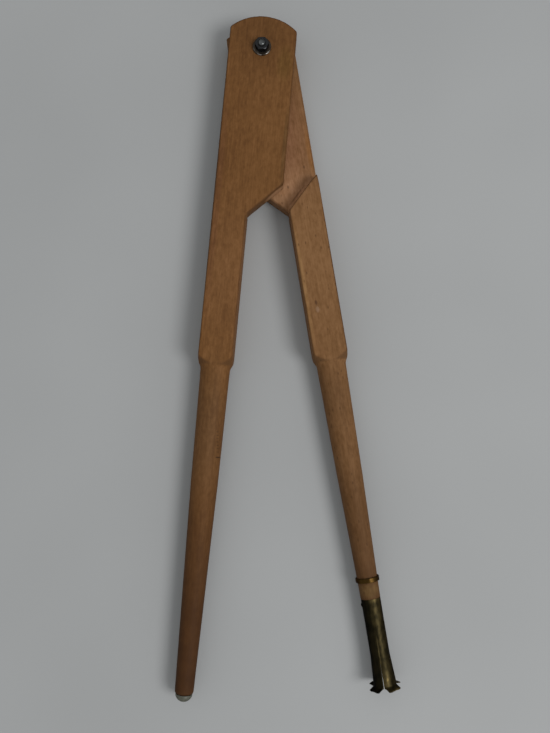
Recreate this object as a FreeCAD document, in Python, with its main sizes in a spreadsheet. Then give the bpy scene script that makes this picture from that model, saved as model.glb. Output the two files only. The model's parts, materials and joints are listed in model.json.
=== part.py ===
import FreeCAD, Part
import math
import os

import Sketcher
from FreeCAD import Placement, Rotation, Vector

# Chalkboard compass: two beech legs half-lapped at the head and hinged on one bolt.
# The pivot leg ends in a rubber stud, the chalk leg in a slit brass tube that holds the chalk,
# and a brass ring slides down that tube to close its four fingers.
#
# The compass lies flat on its back. The origin is on the hinge axis, in the plane of the back
# faces, +Z points up through the bolt, and both legs point towards -Y, each turned by half of
# the opening angle. Each leg is drawn closed, with its length along -Y and its inner face on
# the plane x = 0: the pivot leg lies on the -X side and the chalk leg on the +X side.
# Millimetres and degrees.

SIZES = {
    # square stock of both legs
    "leg_width": 22.0,
    "leg_thickness": 22.0,
    "opening_angle": 14.3,
    "edge_round": 0.7,
    # head: two plates, each two legs wide and half a leg thick
    "head_reach": 21.5,
    "front_arc_radius": 32.0,
    "back_arc_radius": 45.0,
    "head_corner_round": 1.6,
    "front_plate_reach": 112.2,
    "front_shoulder_reach": 110.4,
    "back_plate_reach": 108.9,
    "back_shoulder_reach": 109.4,
    "corner_chip_width": 5.5,
    "corner_chip_length": 8.0,
    "corner_chip_depth": 3.2,
    # turned lower part of both legs
    "square_end": 209.6,
    "cove_radius": 6.0,
    "swell_station": 285.0,
    "pivot_leg_top_radius": 9.55,
    "pivot_leg_swell_radius": 8.7,
    "pivot_leg_tip_radius": 5.95,
    "pivot_leg_length": 415.4,
    "pivot_leg_tip_round": 1.6,
    "chalk_leg_top_radius": 9.5,
    "chalk_leg_swell_radius": 8.15,
    "chalk_leg_low_radius": 6.25,
    "tube_station": 361.0,
    "tenon_length": 15.0,
    "tenon_lead": 0.8,
    # hinge bolt with mushroom head and square neck, its washer and nut
    "bolt_radius": 2.5,
    "bolt_head_radius": 6.5,
    "bolt_head_height": 3.3,
    "bolt_head_rim": 0.9,
    "bolt_head_inset": 0.4,
    "bolt_neck_length": 3.5,
    "bolt_stand_out": 1.0,
    "bolt_end_chamfer": 0.5,
    "washer_radius": 6.05,
    "washer_thickness": 1.2,
    "washer_rim_round": 0.3,
    "nut_across_flats": 8.0,
    "nut_height": 4.0,
    "nut_angle": -7.0,
    # chalk tube
    "tube_bore_radius": 5.45,
    "tube_wall": 0.6,
    "tube_seat_taper": 0.1,
    "finger_start": 396.0,
    "finger_end": 413.6,
    "finger_splay": 1.1,
    "front_slit_angle": -13.0,
    "rear_slit_angle": 3.4,
    "tab_bend_radius": 1.0,
    "tab_length": 3.0,
    "tab_reach": 9.6,
    "tab_half_width": 4.4,
    "slit_start_width": 0.5,
    "slit_end_width": 1.1,
    # tack through the tube into the tenon
    "tack_station": 364.5,
    "tack_radius": 0.7,
    "tack_depth": 5.0,
    "tack_head_radius": 1.4,
    "tack_head_height": 0.5,
    # sliding ring
    "ring_station": 349.2,
    "ring_bore_radius": 6.78,
    "ring_wall": 0.7,
    "ring_height": 2.8,
    "ring_edge_round": 0.25,
    # rubber stud in the end of the pivot leg
    "stud_radius": 5.2,
    "stud_height": 4.8,
    "stud_rim": 1.2,
    "stud_stem_radius": 2.5,
    "stud_stem_length": 12.0,
    # clearances
    "hinge_clearance": 0.08,
    "seat_clearance": 0.05,
    "head_clearance": 0.3,
}

LEG_AXIS_X = "sizes.leg_width / 2"
LEG_AXIS_Z = "sizes.leg_thickness / 2"
LAP = "sizes.leg_thickness / 2"
TURNING_ROOM = "(sizes.leg_width + sizes.leg_thickness) / 2"
TENON_END = "(sizes.tube_station + sizes.tenon_length)"
TENON_RADIUS = "(sizes.tube_bore_radius - sizes.seat_clearance)"
TUBE_RADIUS = "(sizes.tube_bore_radius + sizes.tube_wall)"
NECK_TOP = "(sizes.bolt_head_inset + sizes.bolt_head_height + sizes.bolt_neck_length)"
HEAD_TOP = "(sizes.bolt_head_inset + sizes.bolt_head_height)"
WASHER_TOP = "(sizes.leg_thickness + sizes.washer_thickness)"
NUT_TOP = "(" + WASHER_TOP + " + sizes.nut_height)"
NUT_CORNER = "(sizes.nut_across_flats / 2 / cos(30 deg))"
# angles around the tube of its four slits, from straight up, and of the first one again
SLIT_ANGLES = (
    "sizes.front_slit_angle",
    "(sizes.front_slit_angle + 90)",
    "(sizes.rear_slit_angle + 180)",
    "(sizes.front_slit_angle + 270)",
    "(sizes.front_slit_angle + 360)",
)
NEAR = 1e-4


# document and sketch helpers

def write_sizes(doc):
    """Put every driving dimension in the sheet as plain text, under its own name."""
    sheet = doc.addObject("Spreadsheet::Sheet", "sizes")
    for row, (name, value) in enumerate(SIZES.items(), start=1):
        sheet.set(f"A{row}", name)
        sheet.set(f"B{row}", str(value))
        sheet.setAlias(f"B{row}", name)
    doc.recompute()
    return sheet


def number(body, expression):
    """Return the present value of an expression as a float."""
    value = body.Document.getObject("sizes").evalExpression(str(expression))
    return float(getattr(value, "Value", value))


def new_body(doc, label, leg_side=0):
    """Start a sub-part; leg_side turns it with the pivot leg (-1) or the chalk leg (+1)."""
    body = doc.addObject("PartDesign::Body", label)
    body.Label = label
    if leg_side:
        half_turn = SIZES["opening_angle"] / 2
        body.Placement = Placement(Vector(0, 0, 0), Rotation(Vector(0, 0, leg_side), half_turn))
        body.setExpression("Placement.Rotation.Angle", "sizes.opening_angle / 2 * 1 deg")
    return body


def new_sketch(body, name, role, offset=("0", "0", "0"), turn_axis=None, turn="0"):
    """Attach a sketch to one of the body's own origin planes, moved and turned as asked."""
    sketch = body.newObject("Sketcher::SketchObject", name)
    planes = [plane for plane in body.Origin.OriginFeatures if plane.Role == role]
    sketch.AttachmentSupport = (planes[0], [""])
    sketch.MapMode = "FlatFace"
    if turn_axis is not None:
        angle = number(body, turn)
        sketch.AttachmentOffset = Placement(Vector(0, 0, 0), Rotation(turn_axis, angle))
        sketch.setExpression("AttachmentOffset.Rotation.Angle", f"({turn}) * 1 deg")
    for axis, expression in zip("xyz", offset):
        if expression != "0":
            sketch.setExpression(f"AttachmentOffset.Base.{axis}", expression)
    return sketch


def pin_point(sketch, geometry, position, x_expression, y_expression, x_now, y_now):
    """Hold one end of a line or arc at the two expressions."""
    held = (("DistanceX", x_expression, x_now), ("DistanceY", y_expression, y_now))
    for kind, expression, now in held:
        index = sketch.addConstraint(Sketcher.Constraint(kind, -1, 1, geometry, position, now))
        sketch.setExpression(f"Constraints[{index}]", expression)


def arc_between(start, end, radius, bulge):
    """Return an arc from start to end that bulges left (+1) or right (-1) of that direction."""
    chord = end - start
    half = chord.Length / 2
    across = Vector(-chord.y, chord.x, 0).normalize()
    centre = (start + end) / 2 - across * bulge * math.sqrt(radius * radius - half * half)
    angles = [math.atan2(point.y - centre.y, point.x - centre.x) for point in (start, end)]
    clockwise = bulge > 0
    if clockwise:
        angles.reverse()
    if angles[1] < angles[0]:
        angles[1] += 2 * math.pi
    circle = Part.Circle(centre, Vector(0, 0, 1), radius)
    return Part.ArcOfCircle(circle, angles[0], angles[1]), clockwise


def draw_outline(body, sketch, corners):
    """Draw a closed outline. A corner is (x, y) or (x, y, radius, bulge) for an arc that leaves it."""
    points = [Vector(number(body, corner[0]), number(body, corner[1]), 0) for corner in corners]
    first = sketch.GeometryCount
    ends = []
    for index, corner in enumerate(corners):
        start = points[index]
        end = points[(index + 1) % len(points)]
        if len(corner) == 2:
            sketch.addGeometry(Part.LineSegment(start, end), False)
            ends.append((1, 2))
            continue
        arc, clockwise = arc_between(start, end, number(body, corner[2]), corner[3])
        sketch.addGeometry(arc, False)
        ends.append((2, 1) if clockwise else (1, 2))
    count = len(corners)
    for index in range(count):
        after = (index + 1) % count
        joint = (first + index, ends[index][1], first + after, ends[after][0])
        sketch.addConstraint(Sketcher.Constraint("Coincident", *joint))
    for index, corner in enumerate(corners):
        point = points[index]
        pin_point(sketch, first + index, ends[index][0], corner[0], corner[1], point.x, point.y)
        if len(corner) > 2:
            radius = number(body, corner[2])
            held = sketch.addConstraint(Sketcher.Constraint("Radius", first + index, radius))
            sketch.setExpression(f"Constraints[{held}]", corner[2])


def draw_circle(body, sketch, x_expression, y_expression, radius_expression):
    """Draw a circle whose centre and radius are held by expressions."""
    centre = Vector(number(body, x_expression), number(body, y_expression), 0)
    radius = number(body, radius_expression)
    index = sketch.addGeometry(Part.Circle(centre, Vector(0, 0, 1), radius), False)
    pin_point(sketch, index, 3, x_expression, y_expression, centre.x, centre.y)
    held = sketch.addConstraint(Sketcher.Constraint("Radius", index, radius))
    sketch.setExpression(f"Constraints[{held}]", radius_expression)


def rectangle(x_low, x_high, y_low, y_high):
    """Return the corners of an upright rectangle."""
    return [(x_low, y_low), (x_high, y_low), (x_high, y_high), (x_low, y_high)]


# feature helpers

def pad(body, name, sketch, length, both_ways=False):
    """Extrude a sketch along its normal."""
    feature = body.newObject("PartDesign::Pad", name)
    feature.Profile = sketch
    feature.setExpression("Length", length)
    feature.Midplane = both_ways
    body.Document.recompute()
    return feature


def pocket(body, name, sketch, depth, along_normal=True, both_ways=False):
    """Cut a sketch into the solid, along its normal unless told otherwise."""
    before = body.Shape.Volume
    feature = body.newObject("PartDesign::Pocket", name)
    feature.Profile = sketch
    feature.setExpression("Length", depth)
    feature.Midplane = both_ways
    feature.Reversed = along_normal and not both_ways
    body.Document.recompute()
    check_cut(body, feature, before)
    return feature


def revolve(body, name, sketch, axis="V_Axis"):
    """Turn a sketch all the way about its own axis."""
    feature = body.newObject("PartDesign::Revolution", name)
    feature.Profile = sketch
    feature.ReferenceAxis = (sketch, [axis])
    feature.Angle = 360
    body.Document.recompute()
    return feature


def groove(body, name, sketch, axis="V_Axis"):
    """Turn a sketch all the way about its own axis and take it off, as on a lathe."""
    before = body.Shape.Volume
    feature = body.newObject("PartDesign::Groove", name)
    feature.Profile = sketch
    feature.ReferenceAxis = (sketch, [axis])
    feature.Angle = 360
    body.Document.recompute()
    check_cut(body, feature, before)
    return feature


def check_cut(body, feature, volume_before):
    """Stop if a cut left the solid as large as it was."""
    if not body.Shape.Volume < volume_before - NEAR:
        raise RuntimeError(f"{body.Label}: {feature.Label} cuts nothing")


def round_edges(body, name, base, radius, wanted):
    """Round the edges of a feature that pass a test on the edge."""
    names = [f"Edge{index}" for index, edge in enumerate(base.Shape.Edges, start=1) if wanted(edge)]
    if not names:
        raise RuntimeError(f"{body.Label}: {name} finds no edge")
    feature = body.newObject("PartDesign::Fillet", name)
    feature.Base = (base, names)
    feature.setExpression("Radius", radius)
    body.Document.recompute()
    return feature


def lies_at(edge, axis, value):
    """Say whether a whole edge lies at one value of x, y or z."""
    return all(abs(getattr(vertex.Point, axis) - value) < NEAR for vertex in edge.Vertexes)


# wooden legs

def add_bar(body, outer, side):
    """Square bar, full thickness, with a 45 degree shoulder for the front or back plate."""
    sketch = new_sketch(body, "bar_outline", "XY_Plane")
    shoulder = f"sizes.{side}_shoulder_reach"
    length = f"-sizes.{body.Label}_length" if outer == "-" else f"-{TENON_END}"
    corners = [
        ("0", f"-{shoulder}"),
        (f"{outer}sizes.leg_width", f"-({shoulder} - sizes.leg_width)"),
        (f"{outer}sizes.leg_width", length),
        ("0", length),
    ]
    draw_outline(body, sketch, corners)
    return pad(body, "bar", sketch, "sizes.leg_thickness")


def add_plate(body, outer, inner, side, floor):
    """Head plate, half a leg thick, with an arched top and a 45 degree lower end."""
    sketch = new_sketch(body, "plate_outline", "XY_Plane", ("0", "0", floor))
    arc = f"sizes.{side}_arc_radius"
    reach = f"sizes.{side}_plate_reach"
    arch_foot = f"(sizes.head_reach - {arc} + sqrt({arc} ^ 2 - sizes.leg_width ^ 2))"
    inner_bulge = 1 if inner == "-" else -1
    corners = [
        (f"{inner}sizes.leg_width", arch_foot, arc, inner_bulge),
        (f"{outer}sizes.leg_width", arch_foot),
        (f"{outer}sizes.leg_width", f"-{reach}"),
        ("0", f"-{reach}"),
        (f"{inner}sizes.leg_width", f"-({reach} - sizes.leg_width)"),
    ]
    draw_outline(body, sketch, corners)
    return pad(body, "plate", sketch, LAP)


def round_leg_edges(body, plate):
    """Ease the corners of the head and every long edge of the front and back faces."""
    thickness = number(body, "sizes.leg_thickness")
    foot = plate.Shape.BoundBox.YMin
    head = plate.Shape.BoundBox.YMax
    width = number(body, "sizes.leg_width")

    def is_head_corner(edge):
        upright = edge.BoundBox.ZLength > NEAR and edge.BoundBox.XLength < NEAR
        at_side = abs(abs(edge.BoundBox.Center.x) - width) < NEAR
        return upright and at_side and edge.BoundBox.Center.y > 0 and edge.BoundBox.YMax < head

    corners = round_edges(body, "head_corners", plate, "sizes.head_corner_round", is_head_corner)

    def is_face_edge(edge):
        on_face = lies_at(edge, "z", 0) or lies_at(edge, "z", thickness)
        return on_face and not lies_at(edge, "y", foot)

    return round_edges(body, "eased_edges", corners, "sizes.edge_round", is_face_edge)


def turned_head(leg):
    """Profile of the shoulder that the lathe leaves where the square stock turns round."""
    tangent = "sizes.cove_radius * tan(22.5 deg)"
    corner = f"(sizes.square_end + sizes.leg_width / 2 - sizes.{leg}_top_radius)"
    return [
        (TURNING_ROOM, "-(sizes.square_end - sizes.leg_thickness / 2)"),
        (f"sizes.{leg}_top_radius + {tangent} * cos(45 deg)",
         f"-({corner} - {tangent} * cos(45 deg))", "sizes.cove_radius", -1),
        (f"sizes.{leg}_top_radius", f"-({corner} + {tangent})"),
        (f"sizes.{leg}_swell_radius", "-sizes.swell_station"),
    ]


def turn_leg(body, outer, lower_profile):
    """Turn the lower half of the leg between centres, about the middle of its stock."""
    offset = (f"{outer}{LEG_AXIS_X}", "0", LEG_AXIS_Z)
    sketch = new_sketch(body, "turned_outline", "XY_Plane", offset)
    draw_outline(body, sketch, turned_head(body.Label) + lower_profile)
    return groove(body, "turning", sketch)


def make_pivot_leg(doc):
    """Left leg: front plate of the head, and a round end that takes the rubber stud."""
    body = new_body(doc, "pivot_leg", -1)
    add_bar(body, "-", "back")
    plate = add_plate(body, "-", "", "front", LAP)
    round_leg_edges(body, plate)
    end = "sizes.pivot_leg_length"
    turn_leg(body, "-", [
        ("sizes.pivot_leg_tip_radius", f"-({end} - sizes.pivot_leg_tip_round)",
         "sizes.pivot_leg_tip_round", 1),
        ("sizes.pivot_leg_tip_radius - sizes.pivot_leg_tip_round", f"-{end}"),
        (TURNING_ROOM, f"-{end}"),
    ])
    socket = new_sketch(body, "stud_socket_outline", "XY_Plane", (f"-{LEG_AXIS_X}", "0", LEG_AXIS_Z))
    socket_depth = "sizes.stud_stem_length + sizes.seat_clearance"
    socket_radius = "sizes.stud_stem_radius + sizes.seat_clearance"
    draw_outline(body, socket, rectangle("0", socket_radius, f"-{end}", f"-({end} - ({socket_depth}))"))
    groove(body, "stud_socket", socket)
    hole = new_sketch(body, "hinge_hole_outline", "XY_Plane")
    draw_circle(body, hole, "0", "0", "sizes.bolt_radius + sizes.hinge_clearance")
    pocket(body, "hinge_hole", hole, "sizes.leg_thickness")
    return body


def chip_shoulder_corner(body):
    """Take the worn outer corner off the front of the shoulder with one slanting cut."""
    width = number(body, "sizes.corner_chip_width")
    length = number(body, "sizes.corner_chip_length")
    slope_run = length * width / math.hypot(width, length - width)
    heading = math.degrees(math.atan2(width - length, width))
    tilt = -math.degrees(math.atan2(number(body, "sizes.corner_chip_depth"), slope_run))
    sketch = new_sketch(body, "corner_chip_outline", "XY_Plane")
    turn = Rotation(Vector(0, 0, 1), heading).multiply(Rotation(Vector(1, 0, 0), tilt))
    sketch.AttachmentOffset = Placement(Vector(0, 0, 0), turn)
    sketch.setExpression("AttachmentOffset.Base.x", "sizes.leg_width - sizes.corner_chip_width")
    sketch.setExpression(
        "AttachmentOffset.Base.y",
        "-(sizes.front_shoulder_reach - sizes.leg_width + sizes.corner_chip_width)")
    sketch.setExpression("AttachmentOffset.Base.z", "sizes.leg_thickness")
    room = "(sizes.corner_chip_length * 2)"
    draw_outline(body, sketch, rectangle(f"-{room}", room, "0", room))
    return pocket(body, "corner_chip", sketch, room)


def make_chalk_leg(doc):
    """Right leg: back plate of the head, and a tenon that takes the chalk tube."""
    body = new_body(doc, "chalk_leg", 1)
    add_bar(body, "", "front")
    plate = add_plate(body, "", "-", "back", "0")
    round_leg_edges(body, plate)
    turn_leg(body, "", [
        ("sizes.chalk_leg_low_radius", "-sizes.tube_station"),
        (f"{TENON_RADIUS} + sizes.tube_seat_taper", "-sizes.tube_station"),
        (TENON_RADIUS, f"-({TENON_END} - sizes.tenon_lead)"),
        (f"{TENON_RADIUS} - sizes.tenon_lead", f"-{TENON_END}"),
        (TURNING_ROOM, f"-{TENON_END}"),
    ])
    chip_shoulder_corner(body)
    cut_bolt_seat(body)
    offset = ("-sizes.tack_station", LEG_AXIS_Z, LEG_AXIS_X)
    tack_hole = new_sketch(body, "tack_hole_outline", "YZ_Plane", offset)
    draw_circle(body, tack_hole, "0", "0", "sizes.tack_radius + sizes.seat_clearance")
    pocket(body, "tack_hole", tack_hole, TUBE_RADIUS, along_normal=False)
    return body


def cut_bolt_seat(body):
    """Let the bolt's head into the back of the plate, over a square hole for its neck."""
    head = new_sketch(body, "head_recess_outline", "XY_Plane")
    draw_circle(body, head, "0", "0", "sizes.bolt_head_radius + sizes.head_clearance")
    pocket(body, "head_recess", head, HEAD_TOP)
    neck = new_sketch(body, "neck_hole_outline", "XY_Plane")
    side = "(sizes.bolt_radius + sizes.seat_clearance)"
    draw_outline(body, neck, rectangle(f"-{side}", side, f"-{side}", side))
    pocket(body, "neck_hole", neck, NECK_TOP)
    shank = new_sketch(body, "shank_hole_outline", "XY_Plane")
    draw_circle(body, shank, "0", "0", "sizes.bolt_radius + sizes.hinge_clearance")
    pocket(body, "shank_hole", shank, "sizes.leg_thickness")


# hinge fasteners

def make_pivot_bolt(doc):
    """Bolt with a mushroom head let in flush at the back, a square neck and a round shank."""
    body = new_body(doc, "pivot_bolt", 1)
    sketch = new_sketch(body, "bolt_outline", "XZ_Plane")
    rise = "(sizes.bolt_head_height - sizes.bolt_head_rim)"
    dome_radius = f"(sizes.bolt_head_radius ^ 2 + {rise} ^ 2) / (2 * {rise})"
    top = f"({NUT_TOP} + sizes.bolt_stand_out)"
    corners = [
        ("0", "sizes.bolt_head_inset", dome_radius, -1),
        ("sizes.bolt_head_radius", f"sizes.bolt_head_inset + {rise}"),
        ("sizes.bolt_head_radius", HEAD_TOP),
        ("sizes.bolt_radius", HEAD_TOP),
        ("sizes.bolt_radius", f"{top} - sizes.bolt_end_chamfer"),
        ("sizes.bolt_radius - sizes.bolt_end_chamfer", top),
        ("0", top),
    ]
    draw_outline(body, sketch, corners)
    revolve(body, "bolt", sketch)
    neck = new_sketch(body, "neck_outline", "XY_Plane", ("0", "0", HEAD_TOP))
    side = "sizes.bolt_radius"
    draw_outline(body, neck, rectangle(f"-{side}", side, f"-{side}", side))
    pad(body, "neck", neck, "sizes.bolt_neck_length")
    return body


def make_pivot_washer(doc):
    """Flat round washer under the nut."""
    body = new_body(doc, "pivot_washer", -1)
    sketch = new_sketch(body, "washer_outline", "XY_Plane", ("0", "0", "sizes.leg_thickness"))
    draw_circle(body, sketch, "0", "0", "sizes.washer_radius")
    draw_circle(body, sketch, "0", "0", "sizes.bolt_radius + sizes.hinge_clearance * 2")
    disc = pad(body, "washer", sketch, "sizes.washer_thickness")
    top = number(body, WASHER_TOP)
    outer = number(body, "sizes.washer_radius")

    def is_rim(edge):
        return lies_at(edge, "z", top) and edge.BoundBox.XMax > outer - NEAR

    round_edges(body, "rim", disc, "sizes.washer_rim_round", is_rim)
    return body


def make_pivot_nut(doc):
    """Hexagon nut with both ends chamfered to a circle."""
    body = new_body(doc, "pivot_nut", 1)
    offset = ("0", "0", WASHER_TOP)
    sketch = new_sketch(body, "nut_outline", "XY_Plane", offset, Vector(0, 0, 1), "sizes.nut_angle")
    corners = []
    for step in range(6):
        angle = f"({60 * step} deg)"
        corners.append((f"{NUT_CORNER} * cos{angle}", f"{NUT_CORNER} * sin{angle}"))
    draw_outline(body, sketch, corners)
    pad(body, "nut", sketch, "sizes.nut_height")
    bore = new_sketch(body, "nut_bore_outline", "XY_Plane", offset)
    draw_circle(body, bore, "0", "0", "sizes.bolt_radius + sizes.seat_clearance")
    pocket(body, "nut_bore", bore, "sizes.nut_height")
    chamfer = new_sketch(body, "nut_chamfer_outline", "XZ_Plane")
    flat = "sizes.nut_across_flats / 2"
    drop = f"({NUT_CORNER} - {flat}) * tan(30 deg)"
    draw_outline(body, chamfer, [
        (flat, NUT_TOP),
        (NUT_CORNER, f"{NUT_TOP} - {drop}"),
        (NUT_CORNER, NUT_TOP),
    ])
    draw_outline(body, chamfer, [
        (flat, WASHER_TOP),
        (NUT_CORNER, f"{WASHER_TOP} + {drop}"),
        (NUT_CORNER, WASHER_TOP),
    ])
    groove(body, "nut_chamfer", chamfer)
    return body


# chalk holder

def make_chalk_tube(doc):
    """Brass tube on the tenon; its free end is slit into four fingers with flared tabs."""
    body = new_body(doc, "chalk_tube", 1)
    offset = (LEG_AXIS_X, "0", LEG_AXIS_Z)
    sketch = new_sketch(body, "tube_outline", "XY_Plane", offset)
    bore = "sizes.tube_bore_radius"
    splay = "sizes.finger_splay"
    wall = "sizes.tube_wall"
    taper = "sizes.tube_seat_taper"
    bend = "sizes.tab_bend_radius"
    turn = "60 deg"
    bend_run = f"{bend} * sin({turn})"
    bend_rise = f"{bend} * (1 - cos({turn}))"
    outer_run = f"({bend} + {wall}) * sin({turn})"
    outer_rise = f"({bend} + {wall}) * (1 - cos({turn}))"
    tab_run = f"sizes.tab_length * cos({turn})"
    tab_rise = f"sizes.tab_length * sin({turn})"
    end = "sizes.finger_end"
    corners = [
        (f"{bore} + {taper}", "-sizes.tube_station"),
        (f"{TUBE_RADIUS} + {taper}", "-sizes.tube_station"),
        (TUBE_RADIUS, f"-{TENON_END}"),
        (TUBE_RADIUS, "-sizes.finger_start"),
        (f"{TUBE_RADIUS} + {splay}", f"-{end}", bend, -1),
        (f"{TUBE_RADIUS} + {splay} + {bend_rise}", f"-({end} + {bend_run})"),
        (f"{TUBE_RADIUS} + {splay} + {bend_rise} + {tab_rise}", f"-({end} + {bend_run} + {tab_run})"),
        (f"{bore} + {splay} + {outer_rise} + {tab_rise}", f"-({end} + {outer_run} + {tab_run})"),
        (f"{bore} + {splay} + {outer_rise}", f"-({end} + {outer_run})", f"{bend} + {wall}", 1),
        (f"{bore} + {splay}", f"-{end}"),
        (bore, "-sizes.finger_start"),
        (bore, f"-{TENON_END}"),
    ]
    draw_outline(body, sketch, corners)
    revolve(body, "tube", sketch)
    cut_slits(body, offset)
    square_tabs(body)
    cut_tack_hole(body)
    return body


def cut_slits(body, offset):
    """Cut four slits, each through one wall and wider towards the open end."""
    past_end = "(sizes.finger_end + sizes.tab_reach)"
    half_start = "sizes.slit_start_width / 2"
    half_end = "sizes.slit_end_width / 2"
    corners = [
        (f"-{half_start}", "-sizes.finger_start"),
        (half_start, "-sizes.finger_start"),
        (half_end, "-sizes.finger_end"),
        (half_end, f"-{past_end}"),
        (f"-{half_end}", f"-{past_end}"),
        (f"-{half_end}", "-sizes.finger_end"),
    ]
    for index, angle in enumerate(SLIT_ANGLES[:-1], start=1):
        name = f"slit_outline_{index}"
        sketch = new_sketch(body, name, "XY_Plane", offset, Vector(0, 1, 0), angle)
        draw_outline(body, sketch, corners)
        pocket(body, f"slit_{index}", sketch, "sizes.tab_reach * 2")


def square_tabs(body):
    """Trim the flared rim to four square tabs, each in the middle of its finger."""
    offset = (LEG_AXIS_X, LEG_AXIS_Z, "sizes.finger_end")
    sketch = new_sketch(body, "tab_outline", "XZ_Plane", offset)
    room = "sizes.tab_reach * 2"
    draw_outline(body, sketch, rectangle(f"-{room}", room, f"-{room}", room))
    reach = "sizes.tab_reach"
    half = "sizes.tab_half_width"
    pairs = list(zip(SLIT_ANGLES[:-1], SLIT_ANGLES[1:]))
    middles = [f"(({first} + {second}) / 2 * 1 deg)" for first, second in pairs]
    corners = []
    for index, middle in enumerate(middles):
        before = middles[index - 1] if index else f"({middles[-1]} - 360 deg)"
        between = f"(({before} + {middle}) / 2)"
        notch = f"({half} / sin(({middle} - {before}) / 2))"
        corners.append((f"{notch} * sin({between})", f"{notch} * cos({between})"))
        for side in ("-", "+"):
            other = "+" if side == "-" else "-"
            corners.append((
                f"{reach} * sin({middle}) {side} {half} * cos({middle})",
                f"{reach} * cos({middle}) {other} {half} * sin({middle})",
            ))
    draw_outline(body, sketch, corners)
    pocket(body, "tab_trim", sketch, room)


def cut_tack_hole(body):
    """Pierce the tube's inner side for the tack."""
    offset = ("-sizes.tack_station", LEG_AXIS_Z, LEG_AXIS_X)
    sketch = new_sketch(body, "tack_hole_outline", "YZ_Plane", offset)
    draw_circle(body, sketch, "0", "0", "sizes.tack_radius + sizes.seat_clearance")
    pocket(body, "tack_hole", sketch, "sizes.tab_reach", along_normal=False)


def make_tube_tack(doc):
    """Round-headed tack that pins the tube to the tenon from the inner side."""
    body = new_body(doc, "tube_tack", 1)
    offset = ("0", "-sizes.tack_station", LEG_AXIS_Z)
    sketch = new_sketch(body, "tack_outline", "XY_Plane", offset)
    seat = f"({LEG_AXIS_X} - {TUBE_RADIUS} - sizes.tube_seat_taper)"
    rise = "sizes.tack_head_height"
    dome_radius = f"(sizes.tack_head_radius ^ 2 + {rise} ^ 2) / (2 * {rise})"
    point = f"{seat} + sizes.tack_depth"
    corners = [
        (f"{seat} - {rise}", "0", dome_radius, 1),
        (seat, "sizes.tack_head_radius"),
        (seat, "sizes.tack_radius"),
        (f"{point} - sizes.tack_radius * 2", "sizes.tack_radius"),
        (point, "0"),
    ]
    draw_outline(body, sketch, corners)
    revolve(body, "tack", sketch, "H_Axis")
    return body


def make_clamp_ring(doc):
    """Brass ring, wedged on the taper above the tube, that slides down over the fingers."""
    body = new_body(doc, "clamp_ring", 1)
    offset = (LEG_AXIS_X, "-sizes.ring_station", LEG_AXIS_Z)
    sketch = new_sketch(body, "ring_outline", "XY_Plane", offset)
    half = "sizes.ring_height / 2"
    outer = "sizes.ring_bore_radius + sizes.ring_wall"
    draw_outline(body, sketch, rectangle("sizes.ring_bore_radius", outer, f"-{half}", half))
    ring = revolve(body, "ring", sketch)
    reach = number(body, f"{LEG_AXIS_X} + {outer}")

    def is_outer_rim(edge):
        return edge.BoundBox.XMax > reach - NEAR and edge.BoundBox.YLength < NEAR

    round_edges(body, "ring_rims", ring, "sizes.ring_edge_round", is_outer_rim)
    return body


def make_rubber_stud(doc):
    """Domed rubber stud whose stem is pushed into the end of the pivot leg."""
    body = new_body(doc, "rubber_stud", -1)
    offset = (f"-{LEG_AXIS_X}", "-sizes.pivot_leg_length", LEG_AXIS_Z)
    sketch = new_sketch(body, "stud_outline", "XY_Plane", offset)
    rise = "(sizes.stud_height - sizes.stud_rim)"
    dome_radius = f"(sizes.stud_radius ^ 2 + {rise} ^ 2) / (2 * {rise})"
    corners = [
        ("0", "sizes.stud_stem_length"),
        ("0", "-sizes.stud_height", dome_radius, -1),
        ("sizes.stud_radius", "-sizes.stud_rim"),
        ("sizes.stud_radius", "0"),
        ("sizes.stud_stem_radius", "0"),
        ("sizes.stud_stem_radius", "sizes.stud_stem_length"),
    ]
    draw_outline(body, sketch, corners)
    revolve(body, "stud", sketch)
    return body


# build, check and write

def check_document(doc, bodies):
    """Stop if any object failed or any sub-part is not one valid solid."""
    for item in doc.Objects:
        if "Invalid" in item.State or "Error" in item.State:
            raise RuntimeError(f"{item.Label} is {item.State}")
    for body in bodies:
        shape = body.Shape
        if shape.isNull() or not shape.isValid() or len(shape.Solids) != 1:
            raise RuntimeError(f"{body.Label} is not one valid solid")


def main():
    """Build the compass and write one file for each sub-part."""
    doc = FreeCAD.newDocument("chalkboard_compass")
    write_sizes(doc)
    makers = (
        make_pivot_leg, make_chalk_leg, make_pivot_bolt, make_pivot_washer, make_pivot_nut,
        make_chalk_tube, make_tube_tack, make_clamp_ring, make_rubber_stud,
    )
    bodies = [make(doc) for make in makers]
    doc.recompute()
    check_document(doc, bodies)
    os.makedirs("parts", exist_ok=True)
    for body in bodies:
        body.Shape.exportStep(f"parts/{body.Label}.step")
        print(f"{body.Label}: {body.Shape.Volume / 1000:.2f} cm3")


main()
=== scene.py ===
"""The looks of a wooden chalkboard compass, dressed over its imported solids.

Everything is in metres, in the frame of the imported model: the hinge axis is +Z through the
origin, the compass lies on its back on z = 0, and its legs point towards -Y. Only the marks in
the wood are in millimetres, as their class says.

Of the pairs of numbers in a finish, stops say where each colour sits in a pattern, a swing gives
the least and the greatest factor, and the others say where an effect starts and where it is
whole.
"""

import json
import logging
import math
from dataclasses import dataclass
from enum import Enum
from typing import Sequence

import bpy
import numpy as np
from mathutils import Matrix, Vector, noise

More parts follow.
